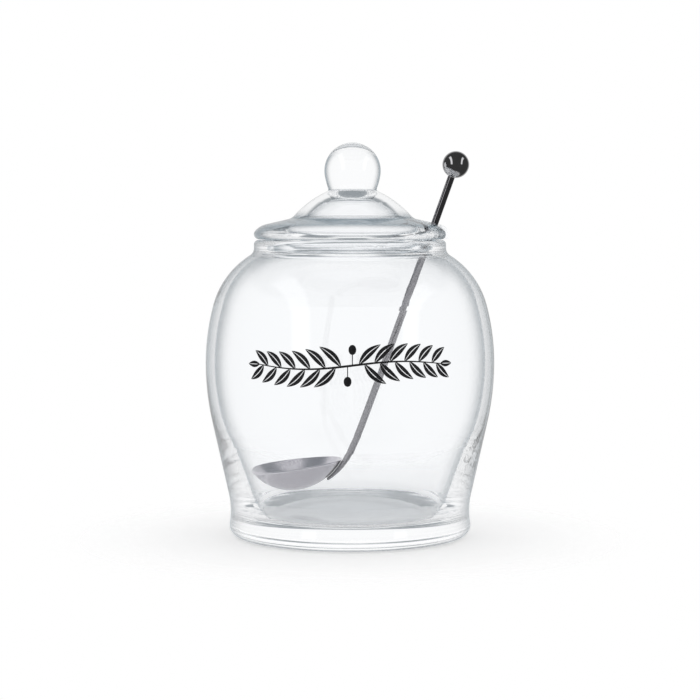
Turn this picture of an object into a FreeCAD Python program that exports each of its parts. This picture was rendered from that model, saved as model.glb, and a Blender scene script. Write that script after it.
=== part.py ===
"""Clear glass olive jar with a loose knobbed lid and a leaning steel ladle.

FreeCAD 1.1 macro, millimetres. The origin is the middle of the jar's foot on the table,
+Z is up and -Y is the printed front. Each piece is a PartDesign body: the jar and the lid
are turned outlines with their hollows grooved out, and the ladle is a dished bowl, a wire
handle flattened and welded to its flank, and a ball welded on the wire's top end.
"""
import FreeCAD, Part
import math
import os

import Sketcher

SIZES = {
    # jar, outside
    "jar_height": 105.2,           # table to the top of the rim
    "belly_radius": 51.3,          # widest point
    "belly_drop": 43.7,            # from the rim down to the widest point
    "lower_belly_curve": 96.0,     # profile radius below the belly
    "upper_belly_curve": 80.0,     # profile radius above the belly
    "shoulder_curve": 30.0,
    "neck_curve": 3.0,             # hollow curve between shoulder and rim band
    "rim_wall": 4.7,               # at the neck
    "rim_band": 0.6,               # straight bore under the rim's rounding
    "rim_outer_round": 1.5,        # fire-polished edges of the rim
    "rim_inner_round": 2.2,
    "waist_inset": 8.65,           # belly to the narrowest point, just above the foot
    "waist_height": 9.4,
    "waist_curve": 25.0,
    "foot_round": 4.0,
    # jar, inside
    "wall": 3.1,
    "mouth_inset": 21.9,           # belly to the bore
    "throat_curve": 3.0,
    "base_thickness": 6.5,
    "floor_inset": 18.65,          # waist to the edge of the floor's flat middle
    "floor_curve": 30.0,           # the floor rises gently outside that
    "floor_corner": 3.0,
    "cavity_lower_curve": 80.0,
    "cavity_taper": 20.0,          # degrees; steeper than outside, so the wall thickens downward
    # lid
    "lid_height": 34.2,            # seat to the top of the knob
    "lid_overhang": 0.9,           # flange beyond the neck
    "lid_shift": 0.9,              # the loose lid lies a little off the jar's axis
    "seat_gap": 0.3,               # flange above the rim
    "plug_clearance": 1.2,         # round the ring that keeps the lid in the mouth
    "plug_depth": 4.0,
    "plug_round": 1.0,
    "lip_round": 1.8,              # lower edge of the flange
    "flange_curve": 7.5,           # upper edge of the flange
    "flange_thickness": 5.35,
    "flange_slope": 13.0,          # degrees
    "dome_foot_curve": 4.0,
    "dome_swell": 7.2,             # the dome arc's radius beyond the plug ring's
    "dome_offset": 5.7,            # the dome arc's centre lies this far behind the axis
    "dome_crown": 20.2,            # height of that arc's crown above the seat
    "dome_wall": 3.3,
    "hollow_crown_step": 10.1,     # the hollow's crown curves this much tighter than its side
    "collar_radius": 8.6,
    "collar_curve": 0.8,
    "knob_radius": 10.0,
    "knob_lower_curve": 26.0,
    "notch_width": 10.6,
    "notch_depth": 10.9,
    # ladle
    "ladle_direction": -13.0,      # degrees from +X, towards the front
    "bowl_radius": 17.2,
    "bowl_depth": 8.0,
    "bowl_sheet": 0.9,
    "bowl_tilt": 8.0,              # degrees, handle side up
    "bowl_roll": 3.5,              # degrees, side towards the front up
    "bowl_lift": 6.3,              # lowest point above the jar's floor
    "rest_gap": 0.3,               # between the bowl's edge and the wall that it leans on
    "wire_radius": 1.25,
    "lean_gap": 0.3,               # wire from the rim
    "weld_gap": 0.1,               # between the wire and the pieces that it is welded to
    "foot_sweep": 32.0,            # degrees round the bowl's flank
    "foot_half_width": 2.2,
    "foot_half_thickness": 0.55,
    "handle_length": 111.2,        # weld to the middle of the ball
    "ball_radius": 4.7,
    "ball_flat": 1.6,              # flat spot where the wire is welded on
}

FITS = {
    # what follows from the sizes above: seats, fits and places
    "belly_height": "jar_height - belly_drop",
    "mouth_radius": "belly_radius - mouth_inset",
    "neck_radius": "mouth_radius + rim_wall",
    "waist_radius": "belly_radius - waist_inset",
    "floor_radius": "waist_radius - floor_inset",
    "seat_height": "jar_height + seat_gap",
    "overall_height": "seat_height + lid_height",
    "lid_radius": "neck_radius + lid_overhang",
    "plug_radius": "mouth_radius - plug_clearance",
    "dome_curve": "plug_radius + dome_swell",
    "band_foot": "jar_height - rim_inner_round - rim_band",
    "waist_centre": "waist_radius + waist_curve",
    "inner_belly": "belly_radius - wall",
    "inner_upper_curve": "upper_belly_curve - wall",
    "inner_shoulder_curve": "shoulder_curve - wall",
    "cavity_turn": "90 - cavity_taper",
    "taper_top_x": "inner_belly - cavity_lower_curve * (1 - cos(cavity_taper * 1 deg))",
    "taper_top_z": "belly_height - cavity_lower_curve * sin(cavity_taper * 1 deg)",
    "rim_lip_x": "mouth_radius + rim_inner_round",
    "rim_lip_z": "jar_height - rim_inner_round",
    "clear_above": "jar_height + plug_depth",
    "plug_foot": "seat_height - plug_depth",
    "lip_centre": "lid_radius - lip_round",
    "flange_top": "seat_height + flange_thickness",
    "slant_turn": "180 - flange_slope",
    "dome_centre_x": "0 - dome_offset",
    "dome_centre_z": "seat_height + dome_crown - dome_curve",
    "collar_centre": "collar_radius + collar_curve",
    "hollow_curve": "dome_curve - dome_wall",
    "hollow_crown_curve": "hollow_curve - hollow_crown_step",
    "clear_below": "plug_foot - plug_depth",
    "notch_half": "notch_width / 2",
    "notch_centre": "lid_radius - notch_depth + notch_width / 2",
    "notch_out": "lid_radius + notch_depth",
    "bowl_sphere": "(bowl_radius ^ 2 + bowl_depth ^ 2) / (2 * bowl_depth)",
    "bowl_inner_sphere": "bowl_sphere - bowl_sheet",
    "bowl_edge_round": "bowl_sheet / 2",
    "bowl_edge_x": "(bowl_sphere - bowl_sheet / 2) * bowl_radius / bowl_sphere",
    "bowl_z": "base_thickness + bowl_lift + bowl_sphere",
    "tip_turn": "asin(bowl_radius / bowl_sphere) - bowl_tilt * 1 deg",
    "tip_drop": "(bowl_sphere - bowl_edge_round) * cos(tip_turn)",
    "wall_at_tip": "taper_top_x - (taper_top_z - bowl_z + tip_drop) * tan(cavity_taper * 1 deg)",
    "tip_seat": "(bowl_edge_round + rest_gap) / cos(cavity_taper * 1 deg)",
    "bowl_x": "(bowl_sphere - bowl_edge_round) * sin(tip_turn) + tip_seat - wall_at_tip",
    "weld_offset": "bowl_sphere + weld_gap + wire_radius",
    "lean_offset": "rim_inner_round + lean_gap + wire_radius",
    "span_x": "rim_lip_x - bowl_x",
    "span_z": "rim_lip_z - bowl_z",
    "span": "sqrt(span_x ^ 2 + span_z ^ 2)",
    "handle_lean": "atan2(span_x; span_z) - asin((weld_offset + lean_offset) / span)",
    "ball_x": "bowl_x + weld_offset * cos(handle_lean) + handle_length * sin(handle_lean)",
    "ball_z": "bowl_z - weld_offset * sin(handle_lean) + handle_length * cos(handle_lean)",
    "flat_drop": "sqrt(ball_radius ^ 2 - ball_flat ^ 2)",
    "wire_top": "flat_drop + weld_gap",
    "wire_length": "handle_length - wire_top",
    "wire_top_x": "ball_x - wire_top * sin(handle_lean)",
    "wire_top_z": "ball_z - wire_top * cos(handle_lean)",
}


FOOT_STEPS = 4  # lengths of the loft between the wire and the end of its foot


def fill_sheet(doc):
    """Driving sizes as plain numbers, then the fits worked out from them."""
    sheet = doc.addObject("Spreadsheet::Sheet", "sizes")
    row = 1
    for alias, number in SIZES.items():
        sheet.set(f"A{row}", alias)
        sheet.set(f"B{row}", str(number))
        sheet.setAlias(f"B{row}", alias)
        row += 1
    for alias, formula in FITS.items():
        sheet.set(f"A{row}", alias)
        sheet.set(f"B{row}", "=" + formula)
        sheet.setAlias(f"B{row}", alias)
        row += 1
    doc.recompute()
    return sheet


def value(alias):
    """A cell's number, in millimetres or degrees."""
    cell = SHEET.get(alias)
    return cell.Value if hasattr(cell, "Value") else float(cell)


def vector(x, y):
    return FreeCAD.Vector(x, y, 0)


def on_circle(centre, radius, degrees):
    turn = math.radians(degrees)
    return (centre[0] + radius * math.cos(turn), centre[1] + radius * math.sin(turn))


def origin_plane(body, role):
    for feature in body.Origin.OriginFeatures:
        if feature.Role == role:
            return feature
    raise ValueError(f"no {role} in {body.Label}")


class Outline:
    """A sketch drawn as one closed chain of lines and arcs, sized by the sheet.

    The points and angles given while drawing are only where the solver starts: the
    joints between segments and the named sizes decide the shape.
    """

    AXIS = -2
    ORIGIN = (-1, 1)

    def __init__(self, body, name, role="XZ_Plane"):
        self.sketch = body.newObject("Sketcher::SketchObject", name)
        self.sketch.AttachmentSupport = (origin_plane(body, role), [""])
        self.sketch.MapMode = "FlatFace"
        self.head = None
        self.tail = None

    def _add(self, shape, start, end, smooth):
        index = self.sketch.addGeometry(shape, False)
        if self.tail is None:
            self.head = (index, start)
        else:
            self._join(self.tail, (index, start), smooth)
        self.tail = (index, end)
        return index

    def _join(self, first, second, smooth):
        kind = "Tangent" if smooth else "Coincident"
        self.sketch.addConstraint(Sketcher.Constraint(kind, *first, *second))

    def line(self, start, end, smooth=False):
        return self._add(Part.LineSegment(vector(*start), vector(*end)), 1, 2, smooth)

    def arc(self, centre, radius, turn_from, turn_to, smooth=True):
        """An arc from one direction to the other, in degrees, either way round."""
        circle = Part.Circle(vector(*centre), FreeCAD.Vector(0, 0, 1), radius)
        low, high = sorted((math.radians(turn_from), math.radians(turn_to)))
        ends = (1, 2) if turn_to > turn_from else (2, 1)
        return self._add(Part.ArcOfCircle(circle, low, high), *ends, smooth)

    def close(self, smooth=False):
        self._join(self.tail, self.head, smooth)

    def circle(self, alias):
        """A whole circle about the sketch's origin."""
        shape = Part.Circle(vector(0, 0), FreeCAD.Vector(0, 0, 1), value(alias))
        index = self.sketch.addGeometry(shape, False)
        self.rule("Coincident", index, 3, *self.ORIGIN)
        self.radius(index, alias)

    def rule(self, kind, *elements):
        self.sketch.addConstraint(Sketcher.Constraint(kind, *elements))

    def size(self, kind, alias, *elements):
        """A dimension bound to a cell of the sheet."""
        angle = kind == "Angle"
        start = math.radians(value(alias)) if angle else value(alias)
        index = self.sketch.addConstraint(Sketcher.Constraint(kind, *elements, start))
        unit = " * 1 deg" if angle else ""
        self.sketch.setExpression(f"Constraints[{index}]", f"sizes.{alias}{unit}")

    def radius(self, index, alias):
        self.size("Radius", alias, index)

    def across(self, alias, index, point):
        self.size("DistanceX", alias, *self.ORIGIN, index, point)

    def height(self, alias, index, point):
        self.size("DistanceY", alias, *self.ORIGIN, index, point)

    def on_axis(self, index, point):
        self.rule("PointOnObject", index, point, self.AXIS)


def new_body(doc, label):
    body = doc.addObject("PartDesign::Body", label)
    body.Label = label
    doc.recompute()
    return body


def turn_outline(body, kind, name, outline):
    """A full Revolution or Groove of an outline about its upright axis."""
    feature = body.newObject(f"PartDesign::{kind}", name)
    feature.Profile = outline.sketch
    feature.ReferenceAxis = (outline.sketch, ["V_Axis"])
    feature.Angle = 360
    outline.sketch.Visibility = False
    body.Document.recompute()
    return feature


def direction(near, far):
    """Direction in degrees from one point to another."""
    return math.degrees(math.atan2(far[1] - near[1], far[0] - near[0]))


def triangle_turn(home, inner, other, reach):
    """Direction from home of the point that is inner from home and reach from other.

    Of the two such points it is the one clockwise of the straight line between them.
    """
    apart = math.dist(home, other)
    cosine = (inner ** 2 + apart ** 2 - reach ** 2) / (2 * inner * apart)
    return direction(home, other) - math.degrees(math.acos(cosine))


# ---------------------------------------------------------------------------- jar


def jar_blank(body):
    """Outside of the jar: foot, waist, taper, belly, shoulder, neck and rim."""
    belly_z = value("belly_height")
    waist = (value("waist_centre"), value("waist_height"))
    waist_r = value("waist_curve")
    foot_r = value("foot_round")
    lower_r = value("lower_belly_curve")
    upper_r = value("upper_belly_curve")
    shoulder_r = value("shoulder_curve")
    neck_r = value("neck_curve")
    lower = (value("belly_radius") - lower_r, belly_z)
    upper = (value("belly_radius") - upper_r, belly_z)

    rise = waist[1] - foot_r
    foot = (waist[0] - math.sqrt((waist_r + foot_r) ** 2 - rise ** 2), foot_r)
    foot_turn = direction(foot, waist)

    # the taper touches the waist's curve and the belly's lower curve from opposite sides
    apart = math.dist(waist, lower)
    taper = direction(lower, waist) + math.degrees(math.acos((lower_r + waist_r) / apart))

    neck = (value("neck_radius") + neck_r, value("band_foot"))
    turn = triangle_turn(upper, upper_r - shoulder_r, neck, shoulder_r + neck_r)
    shoulder = on_circle(upper, upper_r - shoulder_r, turn)
    neck_turn = direction(shoulder, neck)
    rim_r = value("rim_outer_round")
    top = value("jar_height")
    rim = (value("neck_radius") - rim_r, top - rim_r)

    draw = Outline(body, "jar_outline")
    base = draw.line((0, 0), (foot[0], 0))
    foot_arc = draw.arc(foot, foot_r, -90, foot_turn)
    waist_arc = draw.arc(waist, waist_r, foot_turn + 180, taper + 180)
    draw.line(on_circle(waist, waist_r, taper + 180), on_circle(lower, lower_r, taper), smooth=True)
    lower_arc = draw.arc(lower, lower_r, taper, 0)
    upper_arc = draw.arc(upper, upper_r, 0, turn)
    shoulder_arc = draw.arc(shoulder, shoulder_r, turn, neck_turn)
    neck_arc = draw.arc(neck, neck_r, neck_turn + 180, 180)
    band = draw.line((value("neck_radius"), neck[1]), (value("neck_radius"), rim[1]), smooth=True)
    rim_arc = draw.arc(rim, rim_r, 0, 90)
    mouth = draw.line((rim[0], top), (0, top), smooth=True)
    axis = draw.line((0, top), (0, 0))
    draw.close()

    draw.rule("Coincident", base, 1, *Outline.ORIGIN)
    draw.rule("Horizontal", base)
    draw.radius(foot_arc, "foot_round")
    draw.radius(waist_arc, "waist_curve")
    draw.across("waist_centre", waist_arc, 3)
    draw.height("waist_height", waist_arc, 3)
    draw.radius(lower_arc, "lower_belly_curve")
    draw.height("belly_height", lower_arc, 3)
    draw.across("belly_radius", lower_arc, 2)
    draw.rule("Horizontal", lower_arc, 2, lower_arc, 3)
    draw.radius(upper_arc, "upper_belly_curve")
    draw.radius(shoulder_arc, "shoulder_curve")
    draw.radius(neck_arc, "neck_curve")
    draw.rule("Vertical", band)
    draw.across("neck_radius", band, 1)
    draw.height("band_foot", band, 1)
    draw.radius(rim_arc, "rim_outer_round")
    draw.rule("Horizontal", mouth)
    draw.height("jar_height", mouth, 1)
    draw.on_axis(mouth, 2)
    turn_outline(body, "Revolution", "jar_blank", draw)
    return draw


def jar_cavity(body):
    """Inside of the jar: dished floor, corner, tapered wall, belly, shoulder and mouth."""
    belly_z = value("belly_height")
    lower_r = value("cavity_lower_curve")
    upper_r = value("inner_upper_curve")
    shoulder_r = value("inner_shoulder_curve")
    throat_r = value("throat_curve")
    corner_r = value("floor_corner")
    floor = value("base_thickness")
    lower = (value("inner_belly") - lower_r, belly_z)
    upper = (value("inner_belly") - upper_r, belly_z)

    taper = value("cavity_taper")
    taper_top = on_circle(lower, lower_r, -taper)
    flat = value("floor_radius")
    rise_r = value("floor_curve")
    rise = (flat, floor + rise_r)
    # the corner's centre: on the line beside the wall, and inside the rising curve
    beside = on_circle(taper_top, corner_r, 180 - taper)
    way = on_circle((0, 0), 1, -90 - taper)
    gap = (beside[0] - rise[0], beside[1] - rise[1])
    along = gap[0] * way[0] + gap[1] * way[1]
    beyond = along ** 2 - gap[0] ** 2 - gap[1] ** 2 + (rise_r - corner_r) ** 2
    run = math.sqrt(beyond) - along
    corner = (beside[0] + run * way[0], beside[1] + run * way[1])
    corner_turn = direction(rise, corner)
    taper_foot = on_circle(corner, corner_r, -taper)

    throat = (value("mouth_radius") + throat_r, value("band_foot"))
    turn = triangle_turn(upper, upper_r - shoulder_r, throat, shoulder_r + throat_r)
    shoulder = on_circle(upper, upper_r - shoulder_r, turn)
    throat_turn = direction(shoulder, throat)
    mouth = value("mouth_radius")
    lip = (value("rim_lip_x"), value("rim_lip_z"))
    lip_r = value("rim_inner_round")
    above = value("clear_above")

    draw = Outline(body, "cavity_outline")
    base = draw.line((0, floor), (flat, floor))
    rise_arc = draw.arc(rise, rise_r, -90, corner_turn)
    corner_arc = draw.arc(corner, corner_r, corner_turn, -taper)
    wall = draw.line(taper_foot, taper_top, smooth=True)
    lower_arc = draw.arc(lower, lower_r, -taper, 0)
    upper_arc = draw.arc(upper, upper_r, 0, turn)
    shoulder_arc = draw.arc(shoulder, shoulder_r, turn, throat_turn)
    throat_arc = draw.arc(throat, throat_r, throat_turn + 180, 180)
    bore = draw.line((mouth, throat[1]), (mouth, lip[1]), smooth=True)
    lip_arc = draw.arc(lip, lip_r, 180, 90)
    way_out = draw.line((lip[0], lip[1] + lip_r), (lip[0], above))
    lid_side = draw.line((lip[0], above), (0, above))
    draw.line((0, above), (0, floor))
    draw.close()

    draw.on_axis(base, 1)
    draw.rule("Horizontal", base)
    draw.height("base_thickness", base, 1)
    draw.across("floor_radius", base, 2)
    draw.radius(rise_arc, "floor_curve")
    draw.radius(corner_arc, "floor_corner")
    draw.size("Angle", "cavity_turn", wall)
    draw.radius(lower_arc, "cavity_lower_curve")
    draw.height("belly_height", lower_arc, 3)
    draw.across("inner_belly", lower_arc, 2)
    draw.rule("Horizontal", lower_arc, 2, lower_arc, 3)
    draw.radius(upper_arc, "inner_upper_curve")
    draw.radius(shoulder_arc, "inner_shoulder_curve")
    draw.radius(throat_arc, "throat_curve")
    draw.rule("Vertical", bore)
    draw.across("mouth_radius", bore, 1)
    draw.height("band_foot", bore, 1)
    draw.radius(lip_arc, "rim_inner_round")
    draw.height("rim_lip_z", lip_arc, 3)
    draw.across("rim_lip_x", way_out, 1)
    draw.rule("Vertical", way_out)
    draw.rule("Horizontal", lid_side)
    draw.height("clear_above", lid_side, 1)
    draw.on_axis(lid_side, 2)
    turn_outline(body, "Groove", "jar_cavity", draw)
    return draw


def make_jar(doc):
    body = new_body(doc, "jar")
    outlines = [jar_blank(body), jar_cavity(body)]
    return body, outlines


# ---------------------------------------------------------------------------- lid


def lid_blank(body):
    """Outside of the lid: plug ring, flange, dome, collar and ball knob."""
    plug_r = value("plug_round")
    plug_x = value("plug_radius")
    plug_z = value("plug_foot")
    seat = value("seat_height")
    lip_r = value("lip_round")
    lip = (value("lip_centre"), seat + lip_r)
    flange_r = value("flange_curve")
    slope = 90 - value("flange_slope")
    dome_r = value("dome_curve")
    dome = (value("dome_centre_x"), value("dome_centre_z"))
    foot_r = value("dome_foot_curve")
    collar_r = value("collar_curve")
    knob_r = value("knob_radius")
    knob = (0, value("overall_height") - knob_r)
    low_r = value("knob_lower_curve")

    # flange curve: touches the lip's curve, and its top end is at the flange's height
    flange_z = value("flange_top") - flange_r * math.sin(math.radians(slope))
    side = math.asin((flange_z - lip[1]) / (flange_r - lip_r))
    flange = (lip[0] - (flange_r - lip_r) * math.cos(side), flange_z)
    lip_turn = -math.degrees(side)
    flange_end = on_circle(flange, flange_r, slope)

    # dome foot: outside the dome's curve, above the flange's sloping line
    normal = (math.cos(math.radians(slope)), math.sin(math.radians(slope)))
    level = (flange_end[0] - dome[0]) * normal[0] + (flange_end[1] - dome[1]) * normal[1] + foot_r
    foot_turn = slope - math.degrees(math.acos(level / (dome_r + foot_r)))
    foot = on_circle(dome, dome_r + foot_r, foot_turn)

    collar_x = value("collar_centre")
    collar_turn = math.degrees(math.acos((collar_x - dome[0]) / (dome_r + collar_r)))
    collar = on_circle(dome, dome_r + collar_r, collar_turn)

    # knob's lower curve: holds the knob's sphere inside, touches the collar's curve
    low_way = triangle_turn(knob, low_r - knob_r, collar, low_r + collar_r)
    low = on_circle(knob, low_r - knob_r, low_way)
    low_turn = direction(low, collar)

    draw = Outline(body, "lid_outline")
    bottom = draw.line((0, plug_z), (plug_x - plug_r, plug_z))
    plug_arc = draw.arc((plug_x - plug_r, plug_z + plug_r), plug_r, -90, 0)
    plug_side = draw.line((plug_x, plug_z + plug_r), (plug_x, seat), smooth=True)
    under = draw.line((plug_x, seat), (lip[0], seat))
    lip_arc = draw.arc(lip, lip_r, -90, lip_turn)
    flange_arc = draw.arc(flange, flange_r, lip_turn, slope)
    slant = draw.line(flange_end, on_circle(foot, foot_r, slope + 180), smooth=True)
    foot_arc = draw.arc(foot, foot_r, slope + 180, foot_turn + 180)
    dome_arc = draw.arc(dome, dome_r, foot_turn, collar_turn)
    collar_arc = draw.arc(collar, collar_r, collar_turn + 180, low_turn + 180)
    low_arc = draw.arc(low, low_r, low_turn, low_way + 180)
    knob_arc = draw.arc(knob, knob_r, low_way + 180, 90)
    draw.line((0, knob[1] + knob_r), (0, plug_z))
    draw.close()

    draw.on_axis(bottom, 1)
    draw.rule("Horizontal", bottom)
    draw.height("plug_foot", bottom, 1)
    draw.radius(plug_arc, "plug_round")
    draw.rule("Vertical", plug_side)
    draw.across("plug_radius", plug_side, 2)
    draw.height("seat_height", plug_side, 2)
    draw.rule("Horizontal", under)
    draw.radius(lip_arc, "lip_round")
    draw.across("lip_centre", lip_arc, 3)
    draw.radius(flange_arc, "flange_curve")
    draw.height("flange_top", slant, 1)
    draw.size("Angle", "slant_turn", slant)
    draw.radius(foot_arc, "dome_foot_curve")
    draw.radius(dome_arc, "dome_curve")
    draw.across("dome_centre_x", dome_arc, 3)
    draw.height("dome_centre_z", dome_arc, 3)
    draw.radius(collar_arc, "collar_curve")
    draw.across("collar_centre", collar_arc, 3)
    draw.radius(low_arc, "knob_lower_curve")
    draw.radius(knob_arc, "knob_radius")
    draw.on_axis(knob_arc, 3)
    draw.on_axis(knob_arc, 2)
    draw.height("overall_height", knob_arc, 2)
    turn_outline(body, "Revolution", "lid_blank", draw)
    return draw


def lid_hollow(body):
    """Inside of the lid: open below, parallel to the dome, with a round crown."""
    side_r = value("hollow_curve")
    side = (value("dome_centre_x"), value("dome_centre_z"))
    crown_r = value("hollow_crown_curve")
    turn = math.degrees(math.acos(-side[0] / (side_r - crown_r)))
    crown = on_circle(side, side_r - crown_r, turn)
    low = value("clear_below")
    start = math.degrees(math.asin((value("plug_foot") - side[1]) / side_r))
    foot = on_circle(side, side_r, start)

    draw = Outline(body, "hollow_outline")
    base = draw.line((0, low), (foot[0], low))
    way_out = draw.line((foot[0], low), foot)
    side_arc = draw.arc(side, side_r, start, turn, smooth=False)
    crown_arc = draw.arc(crown, crown_r, turn, 90)
    draw.line((0, crown[1] + crown_r), (0, low))
    draw.close()

    draw.on_axis(base, 1)
    draw.rule("Horizontal", base)
    draw.height("clear_below", base, 1)
    draw.rule("Vertical", way_out)
    draw.height("plug_foot", way_out, 2)
    draw.radius(side_arc, "hollow_curve")
    draw.across("dome_centre_x", side_arc, 3)
    draw.height("dome_centre_z", side_arc, 3)
    draw.radius(crown_arc, "hollow_crown_curve")
    draw.on_axis(crown_arc, 3)
    draw.on_axis(crown_arc, 2)
    turn_outline(body, "Groove", "lid_hollow", draw)
    return draw


def lid_notch(body):
    """U-shaped notch through flange and plug ring, where the ladle's wire stands."""
    half = value("notch_half")
    centre = value("notch_centre")
    out = value("notch_out")
    draw = Outline(body, "notch_outline", "XY_Plane")
    turn = "create(<<rotation>>; sizes.ladle_direction; 0; 0)"
    place = f"create(<<placement>>; create(<<vector>>; 0; 0; 0); {turn})"
    draw.sketch.setExpression("AttachmentOffset", place)
    end_arc = draw.arc((centre, 0), half, 270, 90)
    near = draw.line((centre, half), (out, half), smooth=True)
    outside = draw.line((out, half), (out, -half))
    far = draw.line((out, -half), (centre, -half))
    draw.close(smooth=True)

    draw.rule("PointOnObject", end_arc, 3, -1)
    draw.across("notch_centre", end_arc, 3)
    draw.radius(end_arc, "notch_half")
    draw.rule("Horizontal", near)
    draw.rule("Horizontal", far)
    draw.rule("Vertical", outside)
    draw.across("notch_out", outside, 1)

    pocket = body.newObject("PartDesign::Pocket", "lid_notch")
    pocket.Profile = draw.sketch
    pocket.Type = "ThroughAll"
    pocket.Reversed = True
    body.Document.recompute()
    return draw


def make_lid(doc):
    body = new_body(doc, "lid")
    outlines = [lid_blank(body), lid_hollow(body), lid_notch(body)]
    shift = "create(<<vector>>; sizes.lid_shift; 0; 0)"
    body.setExpression("Placement", f"create(<<placement>>; {shift}; create(<<rotation>>; 0; 0; 0))")
    return body, outlines


# -------------------------------------------------------------------------- ladle


def place_on_ladle(body, along, up, pitch, roll="0"):
    """Places a body in the ladle's upright plane, pitched in that plane and rolled across it."""
    spot = (f"create(<<vector>>; {along} * cos(sizes.ladle_direction);"
            f" {along} * sin(sizes.ladle_direction); {up})")
    turn = f"create(<<rotation>>; sizes.ladle_direction; {pitch}; {roll})"
    body.setExpression("Placement", f"create(<<placement>>; {spot}; {turn})")


def make_bowl(doc):
    """Dished bowl of thin sheet, turned about its own axis, its sphere's middle at zero."""
    body = new_body(doc, "ladle_bowl")
    outer = value("bowl_sphere")
    inner = value("bowl_inner_sphere")
    edge_r = value("bowl_edge_round")
    middle = outer - edge_r
    rim_turn = math.degrees(math.asin(value("bowl_radius") / outer)) - 90
    edge = on_circle((0, 0), middle, rim_turn)

    draw = Outline(body, "bowl_outline")
    outer_arc = draw.arc((0, 0), outer, -90, rim_turn)
    edge_arc = draw.arc(edge, edge_r, rim_turn, rim_turn + 180)
    inner_arc = draw.arc((0, 0), inner, rim_turn, -90)
    draw.line((0, -inner), (0, -outer))
    draw.close()
    for arc, alias in ((outer_arc, "bowl_sphere"), (inner_arc, "bowl_inner_sphere")):
        draw.rule("Coincident", arc, 3, *Outline.ORIGIN)
        draw.radius(arc, alias)
    draw.on_axis(outer_arc, 1)
    draw.on_axis(inner_arc, 1)
    draw.across("bowl_edge_x", edge_arc, 3)
    turn_outline(body, "Revolution", "bowl_sheet", draw)
    place_on_ladle(body, "sizes.bowl_x", "sizes.bowl_z", "0 - sizes.bowl_tilt", "0 - sizes.bowl_roll")
    return body, [draw]


def foot_section(body, share):
    """One cross-section of the flattened foot, square to the bowl's flank.

    Its share of the way along goes from zero, the wire's own circle, to one, the end.
    """
    draw = Outline(body, "foot_section", "XY_Plane")
    mix = "(sizes.wire_radius * {0} + sizes.{1} * {2})"
    thick = mix.format(1 - share, "foot_half_thickness", share)
    wide = mix.format(1 - share, "foot_half_width", share)
    away = f"(sizes.bowl_sphere + sizes.weld_gap + {thick})"
    angle = f"(sizes.foot_sweep * {share})"
    spot = (f"create(<<vector>>; {away} * cos({angle}) - sizes.weld_offset; 0;"
            f" 0 - sizes.wire_length - {away} * sin({angle}))")
    turn = f"create(<<rotation>>; 0; {angle}; 0)"
    draw.sketch.setExpression("AttachmentOffset", f"create(<<placement>>; {spot}; {turn})")

    sketch = draw.sketch
    if share == 0:
        draw.circle("wire_radius")
        return sketch
    half_thick = value("wire_radius") * (1 - share) + value("foot_half_thickness") * share
    half_wide = value("wire_radius") * (1 - share) + value("foot_half_width") * share
    ellipse = Part.Ellipse(vector(0, half_wide), vector(half_thick, 0), vector(0, 0))
    index = sketch.addGeometry(ellipse, False)
    sketch.exposeInternalGeometry(index)
    draw.rule("Coincident", index, 3, *Outline.ORIGIN)
    long_axis = index + 1
    short_axis = index + 2
    draw.rule("Vertical", long_axis)
    for axis, half in ((long_axis, wide), (short_axis, thick)):
        start = 2 * (half_wide if axis == long_axis else half_thick)
        number = sketch.addConstraint(Sketcher.Constraint("Distance", axis, start))
        sketch.setExpression(f"Constraints[{number}]", f"2 * {half}")
    return sketch


def make_handle(doc):
    """Straight wire down to the bowl, its end flattened and curved along the bowl's flank.

    Local Z runs up the wire from its top end at zero; the bowl's sphere lies towards -X.
    """
    body = new_body(doc, "ladle_handle")
    draw = Outline(body, "wire_section", "XY_Plane")
    draw.circle("wire_radius")
    wire = body.newObject("PartDesign::Pad", "wire")
    wire.Profile = draw.sketch
    wire.setExpression("Length", "sizes.wire_length")
    wire.Reversed = True
    doc.recompute()

    sections = [foot_section(body, step / FOOT_STEPS) for step in range(FOOT_STEPS + 1)]
    doc.recompute()
    foot = body.newObject("PartDesign::AdditiveLoft", "welded_foot")
    foot.Profile = sections[0]
    foot.Sections = sections[1:]
    foot.Ruled = False
    doc.recompute()
    place_on_ladle(body, "sizes.wire_top_x", "sizes.wire_top_z", "sizes.handle_lean")
    return body, [draw]


def make_ball(doc):
    """Steel ball with a flat spot below for the end of the wire, its middle at zero."""
    body = new_body(doc, "ladle_ball")
    radius = value("ball_radius")
    flat = value("ball_flat")
    drop = value("flat_drop")
    draw = Outline(body, "ball_outline")
    arc = draw.arc((0, 0), radius, math.degrees(math.atan2(-drop, flat)), 90)
    draw.line((0, radius), (0, -drop))
    spot = draw.line((0, -drop), (flat, -drop))
    draw.close()
    draw.rule("Coincident", arc, 3, *Outline.ORIGIN)
    draw.radius(arc, "ball_radius")
    draw.on_axis(arc, 2)
    draw.rule("Horizontal", spot)
    draw.on_axis(spot, 1)
    draw.across("ball_flat", spot, 2)
    turn_outline(body, "Revolution", "ball", draw)
    place_on_ladle(body, "sizes.ball_x", "sizes.ball_z", "sizes.handle_lean")
    return body, [draw]


# ------------------------------------------------------------------------- export


def check(doc, bodies):
    """Stops on any failed object and any sub-part that isn't one sound solid."""
    for item in doc.Objects:
        if "Invalid" in item.State or "Error" in item.State:
            raise RuntimeError(f"{item.Label} failed: {item.State}")
    for body in bodies:
        shape = body.Shape
        if shape.isNull() or not shape.isValid() or len(shape.Solids) != 1:
            raise RuntimeError(f"{body.Label} isn't one valid solid")


def export(bodies):
    os.makedirs("parts", exist_ok=True)
    for body in bodies:
        body.Shape.exportStep(f"parts/{body.Label}.step")
        box = body.Shape.BoundBox
        print(f"{body.Label}: {body.Shape.Volume:.0f} mm3,"
              f" x {box.XMin:.1f}..{box.XMax:.1f}, y {box.YMin:.1f}..{box.YMax:.1f},"
              f" z {box.ZMin:.1f}..{box.ZMax:.1f}")


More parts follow.
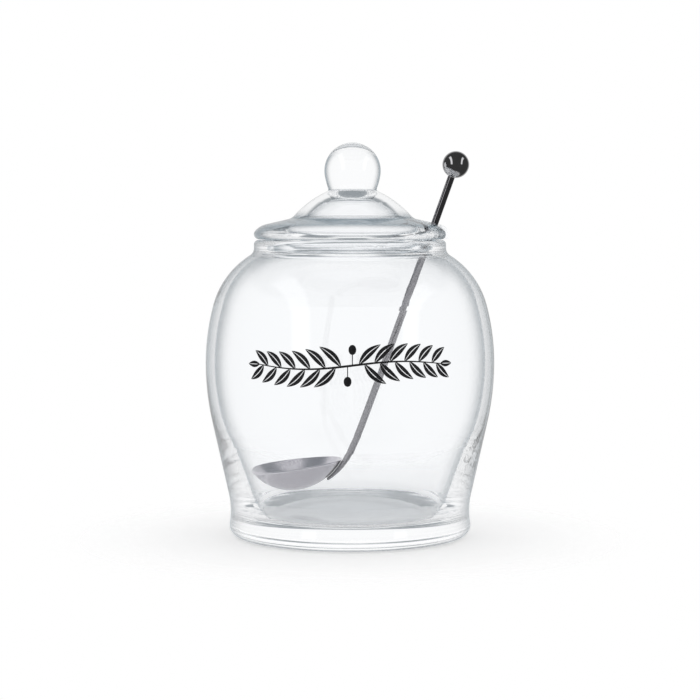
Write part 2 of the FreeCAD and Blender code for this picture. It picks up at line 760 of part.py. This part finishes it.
DOC = FreeCAD.newDocument("olive_jar")
SHEET = fill_sheet(DOC)
BODIES = []
for make in (make_jar, make_lid, make_bowl, make_handle, make_ball):
    made, drawn = make(DOC)
    BODIES.append(made)
    for outline in drawn:
        if not outline.sketch.FullyConstrained:
            print(f"{outline.sketch.Label} has a free size")
DOC.recompute()
check(DOC, BODIES)
export(BODIES)
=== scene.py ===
"""Clear glass olive jar with its loose lid and steel ladle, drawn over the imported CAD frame."""
import math

import bmesh
import bpy
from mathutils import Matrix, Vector


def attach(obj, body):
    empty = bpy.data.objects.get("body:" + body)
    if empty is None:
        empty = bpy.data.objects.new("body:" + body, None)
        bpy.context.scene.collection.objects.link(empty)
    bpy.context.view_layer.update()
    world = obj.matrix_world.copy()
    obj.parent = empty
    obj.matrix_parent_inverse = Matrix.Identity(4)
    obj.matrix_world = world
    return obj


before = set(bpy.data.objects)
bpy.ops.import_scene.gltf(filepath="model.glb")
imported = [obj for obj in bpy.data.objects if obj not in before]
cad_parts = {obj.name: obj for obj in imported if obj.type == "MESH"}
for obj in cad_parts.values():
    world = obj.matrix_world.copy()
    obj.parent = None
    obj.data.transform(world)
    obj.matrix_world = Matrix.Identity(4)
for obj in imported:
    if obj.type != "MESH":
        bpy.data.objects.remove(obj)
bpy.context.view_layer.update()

# camera: metres, degrees, and millimetres for the lens and the sensor
CAMERA_DISTANCE = 0.741
CAMERA_HEIGHT = 0.114
CAMERA_PITCH = 3.7
LENS = 107.2
SENSOR = 36

# floor: metres, then its white and its own glow
FLOOR_RADIUS = 0.115
FLOOR_FADE = 0.06  # from here to its edge the floor fades into the white behind it
FLOOR_GAP = 0.0004  # air under the jar's flat bottom, so that it still mirrors
FLOOR_WHITE = 0.9
FLOOR_GLOW = 0.46

# studio: strengths of the world for each kind of ray
BACKDROP = 1.0  # straight from the camera
LIGHT = 0.62  # on matt surfaces
THROUGH = 1.02  # through the glass
GAP = 0.34  # through the glass, between the backdrop and the lamp overhead
GAP_COLOUR = (0.86, 0.94, 1.0)
ROOM = 0.07  # mirrored: the dark room, the softboxes and the pale wall behind
SOFTBOX = 1.3
WALL = 0.6

# the jar's outside where the ornament is printed, as the CAD has it, in metres
BELLY_RADIUS = 0.0513
BELLY_HEIGHT = 0.0615
UPPER_CURVE = 0.080
LOWER_CURVE = 0.096
PRINT_HEIGHT = 0.0641
PRINT_LIFT = 0.00002

# the printed sprig, in metres and degrees
SPRIG_HALF = 0.0335
STEM_RISE = 0.0013
LEAF_PAIRS = 6
LEAF_FIRST = 0.0030
LEAF_STEP = 0.0052
LEAF_LENGTH = 0.0100
LEAF_SHORTER = 0.0005  # each pair than the one before it
LEAF_WIDTH = 0.00135
LEAF_SPLAY = 42
LEAF_BEND = 0.07
VEIN = 0.09  # bare share of a leaf's half width
OLIVE_SIZE = 0.0013

# how the ladle stands, in degrees: the marks on its steel run with it
HANDLE_LEAN = 19.9
BOWL_LEAN = -8
LADLE_DIRECTION = -13.0

# glass: clear, with a painted dark shade where it is seen along its surface, standing in for the
# dark room seen through it; on the knob at its sides only
GLASS_COLOUR = (0.985, 0.992, 1.0)
PAINTED_EDGE_SHADE = (0.10, 0.14, 0.17)
GLASS_IOR = 1.5
JAR_PAINTED_SHADE_EDGE = (0.50, 0.90)
LID_PAINTED_SHADE_EDGE = (0.34, 0.74)
KNOB_HEIGHT = (0.113, 0.116)
KNOB_LEVEL = (0.45, 0.8)

LONGEST_PATH = 96  # light runs round inside the lid's thick edge


def add(tree, kind, **settings):
    node = tree.nodes.new(kind)
    for name, setting in settings.items():
        setattr(node, name, setting)
    return node


def math_node(tree, operation, first, second=None):
    node = add(tree, "ShaderNodeMath", operation=operation)
    for socket, source in zip(node.inputs, (first, second)):
        if source is None:
            continue
        if isinstance(source, (int, float)):
            socket.default_value = source
        else:
            tree.links.new(source, socket)
    return node.outputs["Value"]


def ramp(tree, source, start, end, low=0.0, high=1.0, kind="SMOOTHSTEP"):
    """Low where the source is at the start, high where it is at the end."""
    node = add(tree, "ShaderNodeMapRange", interpolation_type=kind)
    tree.links.new(source, node.inputs["Value"])
    node.inputs["From Min"].default_value = start
    node.inputs["From Max"].default_value = end
    node.inputs["To Min"].default_value = low
    node.inputs["To Max"].default_value = high
    return node.outputs["Result"]


def spread(tree, source, low, high):
    """The middle of a noise drawn out from low to high."""
    return ramp(tree, source, 0.3, 0.7, low, high, "LINEAR")


def blend(tree, factor, first, second):
    """A colour that goes from the first to the second with the factor."""
    node = add(tree, "ShaderNodeMix", data_type="RGBA")
    node.inputs["A"].default_value = (*first, 1)
    node.inputs["B"].default_value = (*second, 1)
    tree.links.new(factor, node.inputs["Factor"])
    return node.outputs["Result"]


def axes(tree, source):
    node = add(tree, "ShaderNodeSeparateXYZ")
    tree.links.new(source, node.inputs[0])
    return node.outputs


def make_material(name):
    material = bpy.data.materials.new(name)
    material.use_nodes = True
    tree = material.node_tree
    tree.nodes.clear()
    output = add(tree, "ShaderNodeOutputMaterial")
    shader = add(tree, "ShaderNodeBsdfPrincipled")
    tree.links.new(shader.outputs["BSDF"], output.inputs["Surface"])
    return material, tree, shader


def noise(tree, scale, stretch=(1, 1, 1), detail=3.0, tilt=(0, 0, 0)):
    """Noise over the object's own coordinates, drawn out along the tilted axes by the stretch."""
    place = add(tree, "ShaderNodeTexCoord")
    turn = add(tree, "ShaderNodeMapping", vector_type="TEXTURE")
    turn.inputs["Rotation"].default_value = [math.radians(angle) for angle in tilt]
    turn.inputs["Scale"].default_value = stretch
    tree.links.new(place.outputs["Object"], turn.inputs["Vector"])
    texture = add(tree, "ShaderNodeTexNoise")
    texture.inputs["Scale"].default_value = scale
    texture.inputs["Detail"].default_value = detail
    tree.links.new(turn.outputs["Vector"], texture.inputs["Vector"])
    return texture.outputs["Fac"]


def bump(tree, shader, source, strength, distance):
    node = add(tree, "ShaderNodeBump")
    node.inputs["Strength"].default_value = strength
    node.inputs["Distance"].default_value = distance
    tree.links.new(source, node.inputs["Height"])
    tree.links.new(node.outputs["Normal"], shader.inputs["Normal"])


def glass(name, waviness, painted_shade_range):
    """Clear soda glass, a little wavy, with painted dark shade on its rims for the dark room seen
    through them.
    """
    material, tree, shader = make_material(name)
    weight = add(tree, "ShaderNodeLayerWeight")
    weight.inputs["Blend"].default_value = 0.5
    form = add(tree, "ShaderNodeNewGeometry")
    knob = ramp(tree, axes(tree, form.outputs["Position"])["Z"], *KNOB_HEIGHT)
    facing_up = math_node(tree, "ABSOLUTE", axes(tree, form.outputs["Normal"])["Z"])
    bare = math_node(tree, "MULTIPLY", knob, ramp(tree, facing_up, *KNOB_LEVEL))
    # painted shade: the base colour darkens where the glass is seen edge-on, but not on the knob's
    # upward and downward faces
    painted_edge_shade = math_node(tree, "MULTIPLY", ramp(tree, weight.outputs["Facing"], *painted_shade_range),
                     math_node(tree, "SUBTRACT", 1.0, bare))
    tree.links.new(blend(tree, painted_edge_shade, GLASS_COLOUR, PAINTED_EDGE_SHADE), shader.inputs["Base Color"])
    shader.inputs["Roughness"].default_value = 0.0
    shader.inputs["IOR"].default_value = GLASS_IOR
    shader.inputs["Transmission Weight"].default_value = 1.0
    bump(tree, shader, noise(tree, 55, (1, 1, 1.6), 1.0), waviness, 0.001)
    return material


def steel(name, dark, light, smooth, rough, scale, stretch=(1, 1, 1), tilt=(0, 0, 0)):
    """Steel with fine marks along one direction, in colour, gloss and relief."""
    material, tree, shader = make_material(name)
    marks = noise(tree, scale, stretch, 4.0, tilt)
    tree.links.new(blend(tree, spread(tree, marks, 0, 1), dark, light), shader.inputs["Base Color"])
    tree.links.new(spread(tree, marks, smooth, rough), shader.inputs["Roughness"])
    shader.inputs["Metallic"].default_value = 1.0
    bump(tree, shader, marks, 0.02, 0.0001)
    return material


def print_ink(name):
    """Black enamel fired onto the glass: nearly matt, thinner here and there."""
    material, tree, shader = make_material(name)
    grain = noise(tree, 900, detail=4.0)
    tree.links.new(blend(tree, spread(tree, grain, 0, 1), (0.008, 0.008, 0.010),
                         (0.022, 0.022, 0.026)), shader.inputs["Base Color"])
    tree.links.new(spread(tree, grain, 0.38, 0.58), shader.inputs["Roughness"])
    bump(tree, shader, grain, 0.2, 0.00005)
    return material


def make_world():
    """A white studio: what a ray meets depends on how it left the object."""
    world = bpy.data.worlds.new("studio")
    bpy.context.scene.world = world
    world.use_nodes = True
    tree = world.node_tree
    tree.nodes.clear()
    output = add(tree, "ShaderNodeOutputWorld")
    path = add(tree, "ShaderNodeLightPath")
    place = add(tree, "ShaderNodeTexCoord")
    x, y, z = axes(tree, place.outputs["Generated"])

    def step(source, start, end):
        return ramp(tree, source, start, end)

    def product(*factors):
        result = factors[0]
        for factor in factors[1:]:
            result = math_node(tree, "MULTIPLY", result, factor)
        return result

    def strip(source, middle, half, soft):
        """One within half of the middle, fading to zero over the soft distance."""
        off = math_node(tree, "ABSOLUTE", math_node(tree, "SUBTRACT", source, middle))
        return step(off, half + soft, half)

    def emit(strength, colour=(1, 1, 1)):
        node = add(tree, "ShaderNodeBackground")
        node.inputs["Color"].default_value = (*colour, 1)
        if isinstance(strength, (int, float)):
            node.inputs["Strength"].default_value = strength
        else:
            tree.links.new(strength, node.inputs["Strength"])
        return node.outputs[0]

    def mix(factor, first, second):
        node = add(tree, "ShaderNodeMixShader")
        for socket, source in zip(node.inputs, (factor, first, second)):
            tree.links.new(source, socket)
        return node.outputs[0]

    # through the glass: white from every side, with a grey gap up to the lamp overhead
    gap = product(step(z, 0.42, 0.58), step(z, 0.97, 0.88))
    through = mix(gap, emit(THROUGH), emit(GAP, GAP_COLOUR))

    # reflections: a dark room with two upright softboxes in front and a pale wall behind
    left = product(strip(x, -0.62, 0.07, 0.06), step(z, -0.05, 0.10), step(y, 0.2, -0.1))
    right = product(strip(x, 0.74, 0.05, 0.05), step(z, -0.05, 0.10), step(y, 0.2, -0.1))
    boxes = product(math_node(tree, "ADD", left, right), SOFTBOX)
    mirror = math_node(tree, "ADD", boxes, ROOM)
    mirror = math_node(tree, "ADD", mirror, product(step(y, 0.55, 0.9), WALL))

    # a ray sharply through glass also counts as glossy, so transmission comes after it
    light = emit(LIGHT)
    light = mix(path.outputs["Is Glossy Ray"], light, emit(mirror))
    light = mix(path.outputs["Is Transmission Ray"], light, through)
    light = mix(path.outputs["Is Camera Ray"], light, emit(BACKDROP))
    tree.links.new(light, output.inputs["Surface"])


def make_floor():
    """A round white table that takes the shadow; it fades into the white of the world."""
    bpy.ops.mesh.primitive_circle_add(vertices=128, radius=FLOOR_RADIUS, fill_type="NGON")
    floor = bpy.context.object
    floor.name = "floor"
    floor.location.z = -FLOOR_GAP
    material, tree, shader = make_material("floor_white")
    shader.inputs["Base Color"].default_value = (FLOOR_WHITE, FLOOR_WHITE, FLOOR_WHITE, 1)
    shader.inputs["Emission Color"].default_value = (1, 1, 1, 1)
    shader.inputs["Emission Strength"].default_value = FLOOR_GLOW
    shader.inputs["Roughness"].default_value = 0.8
    shader.inputs["Specular IOR Level"].default_value = 0.0
    place = add(tree, "ShaderNodeTexCoord")
    away = add(tree, "ShaderNodeVectorMath", operation="LENGTH")
    tree.links.new(place.outputs["Object"], away.inputs[0])
    fade = ramp(tree, away.outputs["Value"], FLOOR_FADE, FLOOR_RADIUS, 1.0, 0.0)
    tree.links.new(fade, shader.inputs["Alpha"])
    floor.data.materials.append(material)


def on_jar(across, up):
    """The point on the jar's front that lies this far round from the middle and this high."""
    height = PRINT_HEIGHT + up
    curve = UPPER_CURVE if height > BELLY_HEIGHT else LOWER_CURVE
    drop = curve - math.sqrt(curve ** 2 - (height - BELLY_HEIGHT) ** 2)
    radius = BELLY_RADIUS - drop + PRINT_LIFT
    turn = across / BELLY_RADIUS
    return (radius * math.sin(turn), -radius * math.cos(turn), height)


def add_strip(mesh, line, half_width, lengths, sides=((-1, 1),), widths=4):
    """Bands along a line on the glass, the half width given at each share of the way.

    Each of the sides is a band between two shares of the half width, left to right.
    """
    for first, last in sides:
        rows = []
        for i in range(lengths + 1):
            share = i / lengths
            here = line(share)
            way = Vector(line(min(share + 0.01, 1))) - Vector(line(max(share - 0.01, 0)))
            way.normalize()
            half = half_width(share)
            rows.append([])
            for j in range(widths + 1):
                off = half * (first + (last - first) * j / widths)
                rows[-1].append(mesh.verts.new(on_jar(here[0] - way.y * off,
                                                      here[1] + way.x * off)))
        for low, high in zip(rows, rows[1:]):
            for j in range(widths):
                mesh.faces.new((low[j], high[j], high[j + 1], low[j + 1]))


def stem(across):
    """Height of the sprig's stem over the middle line."""
    return STEM_RISE * math.sin(math.pi * across / SPRIG_HALF)


def make_sprig():
    """A leafy olive sprig in black, printed where the front carries its print."""
    mesh = bmesh.new()
    add_strip(mesh, lambda u: ((2 * u - 1) * SPRIG_HALF, stem((2 * u - 1) * SPRIG_HALF)),
              lambda u: 0.00038 - 0.00022 * abs(2 * u - 1), 96)

    def leaf(root, angle, length, width, bend):
        """A pointed leaf from the stem, its middle vein left bare."""
        turn = math.radians(angle)

        def line(u):
            along, off = length * u, bend * length * math.sin(math.pi * u)
            return (root + along * math.cos(turn) - off * math.sin(turn),
                    stem(root) + along * math.sin(turn) + off * math.cos(turn))

        add_strip(mesh, line, lambda u: width * math.sin(math.pi * u ** 0.9) ** 0.85, 20,
                  sides=((-1, -VEIN), (VEIN, 1)))

    def olive(root, up, size):
        """A ripe olive on a short stalk."""
        middle = (root, stem(root) + up)
        add_strip(mesh, lambda u: (root, stem(root) + up * u), lambda u: 0.00016, 6)
        add_strip(mesh, lambda u: (middle[0], middle[1] + 1.3 * size * (2 * u - 1)),
                  lambda u: size * math.sqrt(max(1 - (2 * u - 1) ** 2, 0)), 24, widths=8)

    for end in (-1, 1):
        along = 0 if end > 0 else 180
        for pair in range(LEAF_PAIRS):
            root = end * (LEAF_FIRST + LEAF_STEP * pair)
            length = LEAF_LENGTH - LEAF_SHORTER * pair
            splay, bend = end * LEAF_SPLAY, end * LEAF_BEND
            leaf(root, along + splay, length, LEAF_WIDTH, bend)
            leaf(root + end * 0.0018, along - splay, length, LEAF_WIDTH, -bend)
        leaf(end * SPRIG_HALF * 0.97, along, 0.0050, 0.0011, 0)
        olive(end * 0.0008, 0.0052 * end, OLIVE_SIZE)

    data = bpy.data.meshes.new("print_sprig")
    mesh.to_mesh(data)
    mesh.free()
    for face in data.polygons:
        face.use_smooth = True
    sprig = bpy.data.objects.new("print_sprig", data)
    bpy.context.scene.collection.objects.link(sprig)
    data.materials.append(print_ink("print_black_enamel"))
    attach(sprig, "root")


def make_camera():
    data = bpy.data.cameras.new("camera")
    data.lens = LENS
    data.sensor_width = SENSOR
    camera = bpy.data.objects.new("camera", data)
    bpy.context.scene.collection.objects.link(camera)
    camera.location = (0, -CAMERA_DISTANCE, CAMERA_HEIGHT)
    camera.rotation_euler = (math.radians(90 - CAMERA_PITCH), 0, 0)
    bpy.context.scene.camera = camera


def dress(node, material):
    """The CAD node keeps its shape and gets this material."""
    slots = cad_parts[node].data.materials
    slots.clear()
    slots.append(material)


make_camera()
make_world()
make_floor()
# both glass parts get painted dark shade on their rims
dress("jar", glass("jar_glass_clear", 0.02, JAR_PAINTED_SHADE_EDGE))
dress("lid", glass("lid_glass_clear", 0.03, LID_PAINTED_SHADE_EDGE))
dress("ladle_bowl", steel("bowl_satin_steel", (0.55, 0.53, 0.57), (0.65, 0.63, 0.67),
                          0.20, 0.28, 2200, (1, 25, 1), (0, BOWL_LEAN, LADLE_DIRECTION)))
dress("ladle_handle", steel("handle_polished_steel", (0.24, 0.24, 0.25), (0.32, 0.31, 0.33),
                            0.08, 0.17, 2500, (1, 1, 100), (0, HANDLE_LEAN, LADLE_DIRECTION)))
dress("ladle_ball", steel("ball_mirror_steel", (0.42, 0.42, 0.43), (0.50, 0.50, 0.51),
                          0.03, 0.09, 300))
make_sprig()

scene = bpy.context.scene
scene.view_settings.view_transform = "Standard"
scene.cycles.max_bounces = LONGEST_PATH
scene.cycles.transmission_bounces = LONGEST_PATH
scene.cycles.glossy_bounces = LONGEST_PATH
